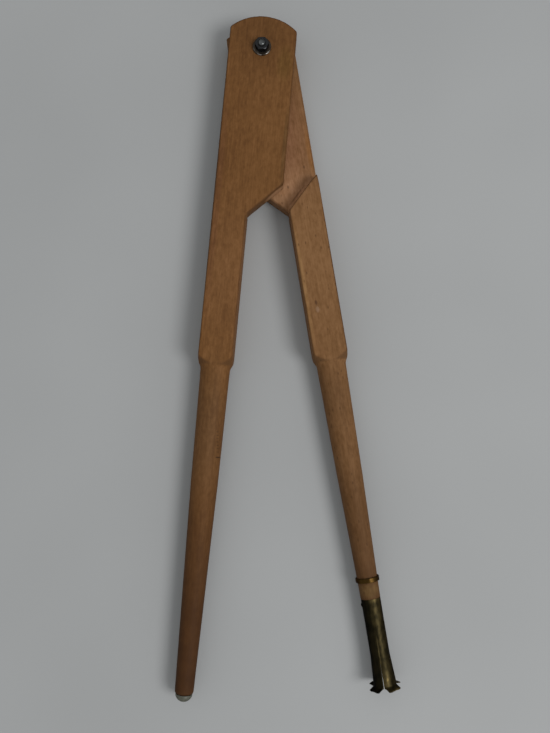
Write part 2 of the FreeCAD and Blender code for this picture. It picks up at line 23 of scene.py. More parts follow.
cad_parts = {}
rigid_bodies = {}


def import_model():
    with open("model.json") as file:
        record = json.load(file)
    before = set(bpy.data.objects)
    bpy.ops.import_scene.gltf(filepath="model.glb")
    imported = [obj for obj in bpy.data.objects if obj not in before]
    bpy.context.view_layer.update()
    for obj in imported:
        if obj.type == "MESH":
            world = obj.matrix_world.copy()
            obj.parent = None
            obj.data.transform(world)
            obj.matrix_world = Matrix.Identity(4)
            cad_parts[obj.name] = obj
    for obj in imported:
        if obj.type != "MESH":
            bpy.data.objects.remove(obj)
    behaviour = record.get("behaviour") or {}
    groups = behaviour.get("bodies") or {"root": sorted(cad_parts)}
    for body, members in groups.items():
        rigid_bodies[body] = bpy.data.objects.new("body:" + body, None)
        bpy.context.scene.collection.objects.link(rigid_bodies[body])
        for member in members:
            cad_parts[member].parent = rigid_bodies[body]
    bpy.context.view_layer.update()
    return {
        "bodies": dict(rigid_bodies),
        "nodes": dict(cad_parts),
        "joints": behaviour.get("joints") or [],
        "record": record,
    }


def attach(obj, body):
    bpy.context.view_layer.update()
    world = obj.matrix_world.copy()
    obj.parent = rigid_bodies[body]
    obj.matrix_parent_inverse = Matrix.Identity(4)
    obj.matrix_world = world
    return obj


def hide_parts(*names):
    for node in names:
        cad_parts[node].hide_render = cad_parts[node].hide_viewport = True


log = logging.getLogger("chalkboard_compass")

MM = 0.001
Colour = tuple[float, float, float, float]


def srgb(red: int, green: int, blue: int) -> Colour:
    """Turn a colour of 0 to 255 as seen on a screen into the linear colour of a shader.

    Args:
        red: Red, 0 to 255.
        green: Green, 0 to 255.
        blue: Blue, 0 to 255.

    Returns:
        Linear red, green and blue, and an alpha of 1.
    """
    linear = []
    for value in (red, green, blue):
        share = value / 255
        linear.append(share / 12.92 if share <= 0.04045 else ((share + 0.055) / 1.055) ** 2.4)
    return (linear[0], linear[1], linear[2], 1.0)


class Side(Enum):
    """The two sides of the open compass, each with the sign of its leg's turn about +Z."""

    PIVOT = -1
    CHALK = 1


@dataclass(frozen=True)
class Pattern:
    """A noise pattern: features for each metre, octaves, and the weight of the finer ones.

    A pattern with along below 1 is drawn out along Y, and pull moves its features about.
    """

    scale: float
    detail: float
    roughness: float
    along: float = 1.0
    pull: float = 0.0


class NodeGraph:
    """A short way to write a material: each call adds one node and gives back its output."""

    def __init__(self, name: str) -> None:
        """Start a material with one surface shader.

        Args:
            name: The material's name.
        """
        self.material = bpy.data.materials.new(name)
        self.material.use_nodes = True
        self.nodes = self.material.node_tree.nodes
        self.links = self.material.node_tree.links
        self.shader = self.nodes["Principled BSDF"]

    def put(self, socket: bpy.types.NodeSocket, value: object) -> None:
        """Link a socket to another node's output, or write a plain value in it.

        Args:
            socket: The input to fill.
            value: An output socket, a number, or a tuple of numbers.
        """
        if isinstance(value, bpy.types.NodeSocket):
            self.links.new(value, socket)
        else:
            socket.default_value = value

    def surface(self, **inputs: object) -> None:
        """Fill inputs of the surface shader.

        Args:
            **inputs: Values by input name, with underscores for spaces.
        """
        for name, value in inputs.items():
            self.put(self.shader.inputs[name.replace("_", " ")], value)

    def coordinates(self, output: str = "Object") -> bpy.types.NodeSocket:
        """Give the texture coordinates of that name."""
        return self.nodes.new("ShaderNodeTexCoord").outputs[output]

    def mapping(
        self,
        vector: bpy.types.NodeSocket,
        scale: Sequence[float] = (1, 1, 1),
        turn: float = 0.0,
    ) -> bpy.types.NodeSocket:
        """Stretch a vector and turn it about Z.

        Args:
            vector: The vector to change.
            scale: Factor along each axis.
            turn: Angle about Z in radians.

        Returns:
            The changed vector.
        """
        node = self.nodes.new("ShaderNodeMapping")
        self.put(node.inputs["Vector"], vector)
        node.inputs["Scale"].default_value = scale
        node.inputs["Rotation"].default_value = (0, 0, turn)
        return node.outputs["Vector"]

    def noise(self, vector: bpy.types.NodeSocket, pattern: Pattern) -> bpy.types.NodeSocket:
        """Give fractal noise from 0 to 1.

        Args:
            vector: Where to read it.
            pattern: How it looks.

        Returns:
            The noise's value.
        """
        node = self.nodes.new("ShaderNodeTexNoise")
        self.put(node.inputs["Vector"], self.mapping(vector, (1, pattern.along, 1)))
        node.inputs["Scale"].default_value = pattern.scale
        node.inputs["Detail"].default_value = pattern.detail
        node.inputs["Roughness"].default_value = pattern.roughness
        node.inputs["Distortion"].default_value = pattern.pull
        return node.outputs["Fac"]

    def cells(self, vector: bpy.types.NodeSocket) -> bpy.types.Node:
        """Give a cell texture, with Distance to each cell's point and a Color for each cell."""
        node = self.nodes.new("ShaderNodeTexVoronoi")
        self.put(node.inputs["Vector"], vector)
        node.inputs["Scale"].default_value = 1.0
        return node

    def math(self, operation: str, *values: object) -> bpy.types.NodeSocket:
        """Work out one operation of the Math node.

        Args:
            operation: The operation's name, such as ADD.
            *values: Sockets or numbers, in order.

        Returns:
            The result.
        """
        node = self.nodes.new("ShaderNodeMath")
        node.operation = operation
        for socket, value in zip(node.inputs, values):
            self.put(socket, value)
        return node.outputs[0]

    def dot(self, vector: bpy.types.NodeSocket, along: Sequence[float]) -> bpy.types.NodeSocket:
        """Give the share of a vector that lies along a fixed direction."""
        node = self.nodes.new("ShaderNodeVectorMath")
        node.operation = "DOT_PRODUCT"
        self.put(node.inputs[0], vector)
        node.inputs[1].default_value = along
        return node.outputs["Value"]

    def axes(self, vector: bpy.types.NodeSocket) -> bpy.types.bpy_prop_collection:
        """Split a vector into its X, Y and Z outputs."""
        node = self.nodes.new("ShaderNodeSeparateXYZ")
        self.put(node.inputs[0], vector)
        return node.outputs

    def step(self, value: object, low: float, high: float) -> bpy.types.NodeSocket:
        """Rise smoothly from 0 to 1 between two values, or fall where low is above high.

        Args:
            value: The socket to read.
            low: Where the result is 0.
            high: Where the result is 1.

        Returns:
            The smooth step.
        """
        node = self.nodes.new("ShaderNodeMapRange")
        node.interpolation_type = "SMOOTHSTEP"
        self.put(node.inputs["Value"], value)
        if low <= high:
            node.inputs["From Min"].default_value = low
            node.inputs["From Max"].default_value = high
        else:
            node.inputs["From Min"].default_value = high
            node.inputs["From Max"].default_value = low
            node.inputs["To Min"].default_value = 1.0
            node.inputs["To Max"].default_value = 0.0
        return node.outputs["Result"]

    def span(self, value: object, low: float, high: float) -> bpy.types.NodeSocket:
        """Read a value of 0 to 1 as one from low to high."""
        node = self.nodes.new("ShaderNodeMapRange")
        self.put(node.inputs["Value"], value)
        node.inputs["To Min"].default_value = low
        node.inputs["To Max"].default_value = high
        return node.outputs["Result"]

    def ramp(self, value: object, stops: Sequence[tuple[float, Colour]]) -> bpy.types.NodeSocket:
        """Turn a value into a colour.

        Args:
            value: The socket to read.
            stops: Pairs of position and colour, in order.

        Returns:
            The colour.
        """
        node = self.nodes.new("ShaderNodeValToRGB")
        self.put(node.inputs["Fac"], value)
        band = node.color_ramp
        while len(band.elements) < len(stops):
            band.elements.new(1.0)
        for element, (position, colour) in zip(band.elements, stops):
            element.position = position
            element.color = colour
        return node.outputs["Color"]

    def mix(
        self, share: object, first: object, second: object, blend: str = "MIX"
    ) -> bpy.types.NodeSocket:
        """Mix two colours.

        Args:
            share: How much of the second, from 0 to 1.
            first: Socket or colour.
            second: Socket or colour.
            blend: The way of mixing.

        Returns:
            The mixed colour.
        """
        node = self.nodes.new("ShaderNodeMix")
        node.data_type = "RGBA"
        node.blend_type = blend
        self.put(node.inputs["Factor"], share)
        self.put(node.inputs[6], first)
        self.put(node.inputs[7], second)
        return node.outputs[2]

    def bump(
        self, height: object, depth: float, strength: float = 1.0, under: object = None
    ) -> bpy.types.NodeSocket:
        """Raise the surface by a height.

        Args:
            height: The height from 0 to 1.
            depth: What a height of 1 measures, in metres.
            strength: How strongly it shows.
            under: The normal of a coarser bump below it.

        Returns:
            The new normal.
        """
        node = self.nodes.new("ShaderNodeBump")
        self.put(node.inputs["Height"], height)
        node.inputs["Distance"].default_value = depth
        node.inputs["Strength"].default_value = strength
        if under is not None:
            self.put(node.inputs["Normal"], under)
        return node.outputs["Normal"]

    def ellipsoid(
        self,
        vector: bpy.types.NodeSocket,
        place: Sequence[float],
        size: Sequence[float],
        turn: float,
        soft: float,
    ) -> bpy.types.NodeSocket:
        """Give 1 inside a soft ellipsoid and 0 outside it.

        Args:
            vector: Where to read it.
            place: Its middle.
            size: Its three half sizes.
            turn: Its angle about Z in radians.
            soft: Share of its size over which it fades.

        Returns:
            How much of the ellipsoid is there.
        """
        node = self.nodes.new("ShaderNodeMapping")
        node.vector_type = "TEXTURE"
        self.put(node.inputs["Vector"], vector)
        node.inputs["Location"].default_value = place
        node.inputs["Rotation"].default_value = (0, 0, turn)
        node.inputs["Scale"].default_value = size
        return self.step(self.length(node.outputs["Vector"]), 1.0, 1.0 - soft)

    def length(self, vector: bpy.types.NodeSocket) -> bpy.types.NodeSocket:
        """Give the length of a vector."""
        node = self.nodes.new("ShaderNodeVectorMath")
        node.operation = "LENGTH"
        self.put(node.inputs[0], vector)
        return node.outputs["Value"]

    def edges(self) -> bpy.types.NodeSocket:
        """Give how sharply the mesh turns: over a half on outer edges, under it in corners."""
        return self.nodes.new("ShaderNodeNewGeometry").outputs["Pointiness"]


@dataclass(frozen=True)
class Mark:
    """A stain, scratch, paler strip, or patch of painted light or shade in the wood, as a soft ellipsoid
    in the leg.

    The place and half sizes are in millimetres, across and along the leg as it lies along Y.
    The level is the height of the mark's middle above the table, and the depth is half its
    height, which takes in the whole leg unless it is given.
    """

    place: tuple[float, float]
    size: tuple[float, float]
    colour: Colour
    share: float
    turn: float = 0.0
    soft: float = 0.7
    level: float = 0.0
    depth: float = 1000.0


@dataclass(frozen=True)
class BeechFinish:
    """Beech under thin old varnish, with fine grain, ray flecks, stains, dark worn edges, and some
    painted light and shade.
    """

    name: str
    dark: Colour
    middle: Colour
    pale: Colour
    end_grain: Colour
    grime_and_shade: Colour
    grime_and_shade_from: float
    grime_and_shade_to: float
    grime_and_shade_share: float
    tip_from: float
    fleck_share: float
    marks: tuple[Mark, ...]
    streaks: Pattern = Pattern(1000, 3, 0.6, along=0.07)
    bands: Pattern = Pattern(210, 2, 0.5, along=0.05, pull=0.6)
    mottle: Pattern = Pattern(520, 2, 0.6, along=0.5)
    cloud: Pattern = Pattern(24, 2, 0.55)
    pores: Pattern = Pattern(2600, 2, 0.6, along=0.09)
    streak_share: float = 0.3
    band_share: float = 0.14
    mottle_share: float = 0.3
    cloud_share: float = 0.26
    tone_stops: tuple[float, float, float] = (0.4, 0.5, 0.6)
    streak_depth: float = 0.05 * MM
    pore_depth: float = 0.03 * MM
    roughness: float = 0.56
    cloud_roughness: float = 0.2
    streak_roughness: float = 0.1
    fleck_cells: tuple[float, float, float] = (420, 190, 420)
    fleck_reach: tuple[float, float] = (0.27, 0.1)
    fleck_choice: tuple[float, float] = (0.6, 0.68)
    fleck_start: tuple[float, float] = (-85 * MM, -105 * MM)
    grime_and_shade_patches: Pattern = Pattern(60, 3, 0.6)
    grime_and_shade_swing: tuple[float, float] = (0.7, 1.3)
    tip_fade: float = 4 * MM
    tip_share: float = 0.85
    end_grain_lean: tuple[float, float] = (0.45, 0.7)
    end_grain_share: float = 0.75
    edge_sharpness: tuple[float, float] = (0.51, 0.545)
    edge_breaks: Pattern = Pattern(130, 3, 0.65)
    edge_swing: tuple[float, float] = (0.6, 1.3)
    edge_share: float = 0.55

    def material(self, turn: float) -> bpy.types.Material:
        """Make the material.

        Args:
            turn: Angle of the leg about Z, in radians, from pointing straight to -Y.

        Returns:
            The material.
        """
        graph = NodeGraph(self.name)
        point = graph.mapping(graph.coordinates(), turn=-turn)
        streaks = graph.noise(point, self.streaks)
        bands = graph.noise(point, self.bands)
        mottle = graph.noise(point, self.mottle)
        cloud = graph.noise(point, self.cloud)
        tone = graph.math("MULTIPLY", bands, self.band_share)
        tone = graph.math("MULTIPLY_ADD", streaks, self.streak_share, tone)
        tone = graph.math("MULTIPLY_ADD", mottle, self.mottle_share, tone)
        tone = graph.math("MULTIPLY_ADD", cloud, self.cloud_share, tone)
        wood = graph.ramp(tone, list(zip(self.tone_stops, (self.dark, self.middle, self.pale))))
        colour = self.with_end_grain(graph, turn, wood)
        colour = self.with_marks(graph, point, wood, colour)
        colour = self.with_flecks(graph, point, colour)
        colour = self.with_grime_and_shade(graph, point, colour)
        colour = self.with_dark_edges(graph, point, colour)
        rough = graph.math("MULTIPLY_ADD", cloud, self.cloud_roughness, self.roughness)
        grained = graph.bump(streaks, self.streak_depth, strength=0.6)
        pores = graph.noise(point, self.pores)
        graph.surface(
            Base_Color=colour,
            Roughness=graph.math("MULTIPLY_ADD", streaks, self.streak_roughness, rough),
            Specular_IOR_Level=0.12,
            Normal=graph.bump(pores, self.pore_depth, strength=0.5, under=grained),
        )
        return graph.material

    def with_marks(
        self,
        graph: NodeGraph,
        point: bpy.types.NodeSocket,
        wood: bpy.types.NodeSocket,
        colour: bpy.types.NodeSocket,
    ) -> bpy.types.NodeSocket:
        """Add the stains, strips and patches of painted light and shade that this leg has, with the grain
        still showing in them.

        Args:
            graph: The material.
            point: Position, with the grain along Y.
            wood: The plain wood's colour.
            colour: The wood's colour so far.

        Returns:
            The marked colour.
        """
        for mark in self.marks:
            place = [value * MM for value in (*mark.place, mark.level)]
            size = [value * MM for value in (*mark.size, mark.depth)]
            there = graph.ellipsoid(point, place, size, mark.turn, mark.soft)
            tint = tuple(new / plain for new, plain in zip(mark.colour, self.middle))
            grained = graph.mix(1.0, wood, tint, "MULTIPLY")
            colour = graph.mix(graph.math("MULTIPLY", there, mark.share), colour, grained)
        return colour

    def with_flecks(
        self, graph: NodeGraph, point: bpy.types.NodeSocket, colour: bpy.types.NodeSocket
    ) -> bpy.types.NodeSocket:
        """Add the short dark ray flecks of beech.

        Args:
            graph: The material.
            point: Position, with the grain along Y.
            colour: The wood's colour so far.

        Returns:
            The colour with flecks.
        """
        cell = graph.cells(graph.mapping(point, self.fleck_cells))
        shape = graph.step(cell.outputs["Distance"], *self.fleck_reach)
        picked = graph.step(graph.axes(cell.outputs["Color"])["X"], *self.fleck_choice)
        below_lap = graph.step(graph.axes(point)["Y"], *self.fleck_start)
        share = graph.math("MULTIPLY", graph.math("MULTIPLY", shape, picked), self.fleck_share)
        return graph.mix(graph.math("MULTIPLY", share, below_lap), colour, self.grime_and_shade)

    def with_grime_and_shade(
        self, graph: NodeGraph, point: bpy.types.NodeSocket, colour: bpy.types.NodeSocket
    ) -> bpy.types.NodeSocket:
        """Darken the leg along its length, partly as handling dirt and partly as painted shade of its
        dimmer lower end, and once more around its tip.

        Args:
            graph: The material.
            point: Position, with the grain along Y.
            colour: The wood's colour so far.

        Returns:
            The darkened colour.
        """
        station = graph.axes(point)["Y"]
        along = graph.step(station, -self.grime_and_shade_from, -self.grime_and_shade_to)
        patches = graph.span(graph.noise(point, self.grime_and_shade_patches), *self.grime_and_shade_swing)
        share = graph.math("MULTIPLY", graph.math("MULTIPLY", along, patches), self.grime_and_shade_share)
        tip = graph.step(station, -self.tip_from, -self.tip_from - self.tip_fade)
        share = graph.math("MAXIMUM", share, graph.math("MULTIPLY", tip, self.tip_share))
        return graph.mix(share, colour, self.grime_and_shade)

    def with_end_grain(
        self, graph: NodeGraph, turn: float, colour: bpy.types.NodeSocket
    ) -> bpy.types.NodeSocket:
        """Give the faces cut across the grain their own colour.

        Args:
            graph: The material.
            turn: Angle of the leg about Z, in radians.
            colour: The wood's colour so far.

        Returns:
            The colour with end grain.
        """
        direction = (math.sin(turn), -math.cos(turn), 0)
        across = graph.math("ABSOLUTE", graph.dot(graph.coordinates("Normal"), direction))
        cut = graph.step(across, *self.end_grain_lean)
        return graph.mix(graph.math("MULTIPLY", cut, self.end_grain_share), colour, self.end_grain)

    def with_dark_edges(
        self, graph: NodeGraph, point: bpy.types.NodeSocket, colour: bpy.types.NodeSocket
    ) -> bpy.types.NodeSocket:
        """Darken the outer edges, where the varnish has worn off and dirt has gone in.

        Args:
            graph: The material.
            point: Position, with the grain along Y.
            colour: The wood's colour so far.

        Returns:
            The colour with darker edges.
        """
        edge = graph.step(graph.edges(), *self.edge_sharpness)
        broken = graph.span(graph.noise(point, self.edge_breaks), *self.edge_swing)
        share = graph.math("MULTIPLY", graph.math("MULTIPLY", edge, broken), self.edge_share)
        return graph.mix(share, colour, self.grime_and_shade)


@dataclass(frozen=True)
class PaintedRimGlint:
    """Two painted highlights, strips of bright bare metal on the lower half of a washer's rim, on either
    side of a darker gap.

    The gap is measured to either side of gap_middle, left_end along X and below along Y.
    """

    radius: float
    width: float = 0.2 * MM
    gap_middle: float = 0.9 * MM
    gap: tuple[float, float] = (1.0 * MM, 1.8 * MM)
    left_end: tuple[float, float] = (-3.4 * MM, -2.6 * MM)
    below: tuple[float, float] = (-2.5 * MM, -4.5 * MM)
    breaks: Pattern = Pattern(330, 1, 0.5)
    swing: tuple[float, float] = (0.5, 1.1)
    share: float = 0.6

    def painted_glint(self, graph: NodeGraph, point: bpy.types.NodeSocket) -> bpy.types.NodeSocket:
        """Say how much of the rim gets painted highlight.

        Args:
            graph: The material.
            point: Position, with the washer's middle at the origin.

        Returns:
            The share of bright metal.
        """
        place = graph.axes(point)
        out = graph.length(graph.mapping(point, (1, 1, 0)))
        rim = graph.step(out, self.radius - self.width, self.radius)
        aside = graph.math("ABSOLUTE", graph.math("SUBTRACT", place["X"], self.gap_middle))
        broken = graph.span(graph.noise(point, self.breaks), *self.swing)
        for there in (
            graph.step(aside, *self.gap),
            graph.step(place["X"], *self.left_end),
            graph.step(place["Y"], *self.below),
            broken,
        ):
            rim = graph.math("MULTIPLY", rim, there)
        return graph.math("MULTIPLY", rim, self.share)


@dataclass(frozen=True)
class MetalFinish:
    """Metal under a dark skin of age, with the skin worn through in spots, and a painted highlight of
    bright metal at a rim.

    A crown bulges the shading of a flat end. Painted shade darkens the skin on the side away from
    the lamp: it starts at shaded_side_from across the piece and is whole beyond shaded_side_to.
    """

    name: str
    skin: Colour
    skin_pale: Colour
    metal: Colour
    skin_roughness: float
    metal_roughness: float
    spot_share: float
    edge_share: float = 0.0
    rim: PaintedRimGlint | None = None
    crown_radius: float = 0.0
    crown_height: float = 0.0
    shaded_side_from: float = 0.0
    shaded_side_to: float = 0.0
    shaded_side_share: float = 0.7
    shaded_side_skin: Colour = srgb(8, 9, 7)
    blotches: Pattern = Pattern(260, 3, 0.55, along=0.5)
    grit: Pattern = Pattern(2340, 2, 0.6)
    skin_stops: tuple[float, float] = (0.35, 0.66)
    spot_reach: tuple[float, float] = (0.6, 0.72)
    edge_sharpness: tuple[float, float] = (0.52, 0.6)
    grit_roughness: float = 0.12
    grit_depth: float = 0.01 * MM
    metallic: float = 0.85
    edge_tint: Colour = srgb(150, 140, 120)

    def material(self, turn: float = 0.0) -> bpy.types.Material:
        """Make the material.

        Args:
            turn: Angle of the piece about Z, in radians.

        Returns:
            The material.
        """
        graph = NodeGraph(self.name)
        point = graph.coordinates()
        blotches = graph.noise(point, self.blotches)
        grit = graph.noise(point, self.grit)
        skin = graph.ramp(blotches, list(zip(self.skin_stops, (self.skin, self.skin_pale))))
        spots = graph.math("MULTIPLY", graph.step(blotches, *self.spot_reach), self.spot_share)
        edges = graph.step(graph.edges(), *self.edge_sharpness)
        rubbed_and_glint = graph.math("MAXIMUM", spots, graph.math("MULTIPLY", edges, self.edge_share))
        # Painted highlight: bright bare metal on the rim, only where the light catches it.
        if self.rim:
            rubbed_and_glint = graph.math("MAXIMUM", rubbed_and_glint, self.rim.painted_glint(graph, point))
        # Painted shade: the side away from the lamp gets a darker skin and loses its bright spots.
        if self.shaded_side_to:
            across = graph.dot(point, (math.cos(turn), math.sin(turn), 0))
            shaded_side = graph.step(across, self.shaded_side_from, self.shaded_side_to)
            skin = graph.mix(graph.math("MULTIPLY", shaded_side, self.shaded_side_share), skin, self.shaded_side_skin)
            rubbed_and_glint = graph.math("MULTIPLY", rubbed_and_glint, graph.math("SUBTRACT", 1, shaded_side))
        normal = graph.bump(grit, self.grit_depth, strength=0.4)
        if self.crown_radius:
            normal = self.crowned(graph, point, normal)
        smoothest = self.skin_roughness - self.grit_roughness / 2
        rough = graph.math("MULTIPLY_ADD", grit, self.grit_roughness, smoothest)
        gloss = graph.math("MULTIPLY", rubbed_and_glint, self.skin_roughness - self.metal_roughness)
        graph.surface(
            Base_Color=graph.mix(rubbed_and_glint, skin, self.metal),
            Metallic=self.metallic,
            Roughness=graph.math("SUBTRACT", rough, gloss),
            Specular_Tint=self.edge_tint,
            Specular_IOR_Level=0.3,
            Normal=normal,
        )
        return graph.material

    def crowned(
        self, graph: NodeGraph, point: bpy.types.NodeSocket, normal: bpy.types.NodeSocket
    ) -> bpy.types.NodeSocket:
        """Bulge a flat round end in the shading.

        Args:
            graph: The material.
            point: Position, with the end's middle on the Z axis.
            normal: The normal so far.

        Returns:
            The bulged normal.
        """
        share = 1 / self.crown_radius
        out = graph.length(graph.mapping(point, (share, share, 0)))
        height = graph.math("SUBTRACT", 1, graph.math("POWER", out, 2))
        return graph.bump(height, self.crown_height, under=normal)


@dataclass(frozen=True)
class RubberFinish:
    """Pale natural rubber gone grey and a little glossy with age."""

    name: str
    pale: Colour
    stained: Colour
    stains: Pattern = Pattern(420, 4, 0.6)
    grit: Pattern = Pattern(2600, 2, 0.6)
    stain_stops: tuple[float, float] = (0.38, 0.62)
    roughness: float = 0.38
    grit_roughness: float = 0.25
    grit_depth: float = 0.02 * MM
    light_reach: tuple[float, float, float] = (2.5 * MM, 2.0 * MM, 1.4 * MM)

    def material(self) -> bpy.types.Material:
        """Make the material.

        Returns:
            The material.
        """
        graph = NodeGraph(self.name)
        point = graph.coordinates()
        stains = graph.noise(point, self.stains)
        grit = graph.noise(point, self.grit)
        graph.surface(
            Base_Color=graph.ramp(stains, list(zip(self.stain_stops, (self.stained, self.pale)))),
            Roughness=graph.math("MULTIPLY_ADD", grit, self.grit_roughness, self.roughness),
            Subsurface_Weight=0.2,
            Subsurface_Radius=self.light_reach,
            Normal=graph.bump(grit, self.grit_depth, strength=0.4),
        )
        return graph.material


@dataclass(frozen=True)
class TableFinish:
    """Plain pale grey table with a faint unevenness."""

    name: str = "table"
    low: Colour = srgb(151, 152, 152)
    high: Colour = srgb(157, 158, 158)
    clouds: Pattern = Pattern(5, 2, 0.5)
    grit: Pattern = Pattern(900, 2, 0.6)
    cloud_stops: tuple[float, float] = (0.3, 0.7)
    grit_depth: float = 0.02 * MM

    def material(self) -> bpy.types.Material:
        """Make the material.

        Returns:
            The material.
        """
        graph = NodeGraph(self.name)
        point = graph.coordinates()
        clouds = graph.noise(point, self.clouds)
        grit = graph.noise(point, self.grit)
        graph.surface(
            Base_Color=graph.ramp(clouds, list(zip(self.cloud_stops, (self.low, self.high)))),
            Roughness=0.75,
            Specular_IOR_Level=0.2,
            Normal=graph.bump(grit, self.grit_depth, strength=0.3),
        )
        return graph.material


def dress(piece: bpy.types.Object, material: bpy.types.Material) -> None:
    """Give a piece one material over its whole mesh.

    Args:
        piece: The object.
        material: Its material.
    """
    piece.data.materials.clear()
    piece.data.materials.append(material)
    log.info("%s is dressed in %s", piece.name, material.name)


@dataclass
class WoodenLeg:
    """One leg, remade over its solid as a finely divided mesh with the marks of use.

    A lean is the largest share of one axis in a vertex's normal: near 1 on a flat face and less
    on an edge. The lap is the level at which the two head plates meet.
    """

    side: Side
    node: str
    body: str
    finish: BeechFinish
    half_opening: float
    voxel: float = 0.62 * MM
    quick_voxel: float = 1.0 * MM
    ease_factor: float = 0.5
    ease_steps: int = 3
    wave: float = 0.07 * MM
    wave_scale: tuple[float, float, float] = (60, 14, 60)
    dent: float = 0.35 * MM
    dent_scale: tuple[float, float, float] = (210, 120, 210)
    dent_start: tuple[float, float, float] = (7, 3, 5)
    dent_level: float = 0.42
    edge_lean: float = 0.93
    lap_lean: float = 0.9
    lap_height: float = 11.0 * MM
    lap_reach: float = 0.3 * MM
    lap_gap: float = 0.08 * MM
    lap_edge_reach: float = 0.9 * MM
    lap_edge_gap: float = 0.3 * MM

    @property
    def turn(self) -> float:
        """Give the leg's angle about +Z, in radians, from pointing straight to -Y."""
        return self.side.value * self.half_opening

    def build(self, solid: bpy.types.Object) -> None:
        """Make the leg's mesh and dress it.

        Args:
            solid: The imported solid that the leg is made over.
        """
        piece = self.divided_copy(solid)
        self.age(piece)
        piece.data.transform(Matrix.Rotation(self.turn, 4, "Z"))
        piece.data.shade_smooth()
        dress(piece, self.finish.material(self.turn))
        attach(piece, self.body)
        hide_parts(self.node)
        log.info("%s has %d faces", piece.name, len(piece.data.polygons))

    def divided_copy(self, solid: bpy.types.Object) -> bpy.types.Object:
        """Copy the solid, turned to lie along Y, and divide it into small even faces.

        Args:
            solid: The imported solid.

        Returns:
            The new object, whose grid is in line with the leg.
        """
        mesh = solid.data.copy()
        mesh.transform(Matrix.Rotation(-self.turn, 4, "Z"))
        piece = bpy.data.objects.new(f"{self.node}_wood", mesh)
        bpy.context.scene.collection.objects.link(piece)
        remesh = piece.modifiers.new("divide", "REMESH")
        remesh.mode = "VOXEL"
        remesh.voxel_size = self.voxel
        ease = piece.modifiers.new("ease", "SMOOTH")
        ease.factor = self.ease_factor
        ease.iterations = self.ease_steps
        bpy.context.view_layer.update()
        shaped = piece.evaluated_get(bpy.context.evaluated_depsgraph_get())
        divided = bpy.data.meshes.new_from_object(shaped)
        piece.modifiers.clear()
        piece.data = divided
        return piece

    def age(self, piece: bpy.types.Object) -> None:
        """Move the vertices a little: uneven planing, knocks on the edges, and open laps.

        Args:
            piece: The leg, lying along Y.
        """
        mesh = piece.data
        count = len(mesh.vertices)
        flat = np.empty(count * 3, dtype=np.float32)
        mesh.vertices.foreach_get("co", flat)
        places = flat.reshape(count, 3).copy()
        mesh.vertices.foreach_get("normal", flat)
        normals = flat.reshape(count, 3).copy()
        plane = places * self.wave_scale
        knocks = places * self.dent_scale + self.dent_start
        waves = np.fromiter((noise.noise(point) for point in plane.tolist()), float, count)
        hits = np.fromiter((noise.noise(point) for point in knocks.tolist()), float, count)
        move = -self.wave * (0.5 + 0.5 * waves)
        on_edge = np.abs(normals).max(axis=1) < self.edge_lean
        move -= np.where(on_edge, self.dent * np.clip(hits - self.dent_level, 0, None), 0)
        from_lap = np.abs(places[:, 2] - self.lap_height)
        on_lap = (from_lap < self.lap_reach) & (np.abs(normals[:, 2]) > self.lap_lean)
        move -= np.where(on_lap, self.lap_gap, 0)
        move -= np.where(on_edge & (from_lap < self.lap_edge_reach), self.lap_edge_gap, 0)
        moved = places + normals * move[:, None]
        mesh.vertices.foreach_set("co", moved.astype(np.float32).ravel())
        mesh.update()


@dataclass
class HingeFasteners:
    """The bolt, washer and nut, whose solids stay and get their finishes."""

    bolt: MetalFinish = MetalFinish(
        "bolt_steel",
        skin=srgb(74, 76, 76),
        skin_pale=srgb(108, 110, 110),
        metal=srgb(200, 198, 192),
        skin_roughness=0.28,
        metal_roughness=0.2,
        spot_share=0.5,
        crown_radius=2.5 * MM,
        crown_height=1.4 * MM,
    )
    washer: MetalFinish = MetalFinish(
        "washer_steel",
        skin=srgb(48, 40, 33),
        skin_pale=srgb(74, 66, 58),
        metal=srgb(196, 194, 188),
        skin_roughness=0.36,
        metal_roughness=0.2,
        spot_share=0.25,
        # The washer's lower rim carries painted highlights.
        rim=PaintedRimGlint(radius=5.85 * MM),
    )
    nut: MetalFinish = MetalFinish(
        "nut_steel",
        skin=srgb(26, 27, 29),
        skin_pale=srgb(42, 43, 45),
        metal=srgb(150, 150, 150),
        skin_roughness=0.36,
        metal_roughness=0.24,
        spot_share=0.12,
        edge_share=0.06,
    )

    def build(self, frame: dict) -> None:
        """Dress the fasteners.

        Args:
            frame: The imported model.
        """
        nodes = frame["nodes"]
        dress(nodes["pivot_bolt"], self.bolt.material())
        dress(nodes["pivot_washer"], self.washer.material())
        dress(nodes["pivot_nut"], self.nut.material())


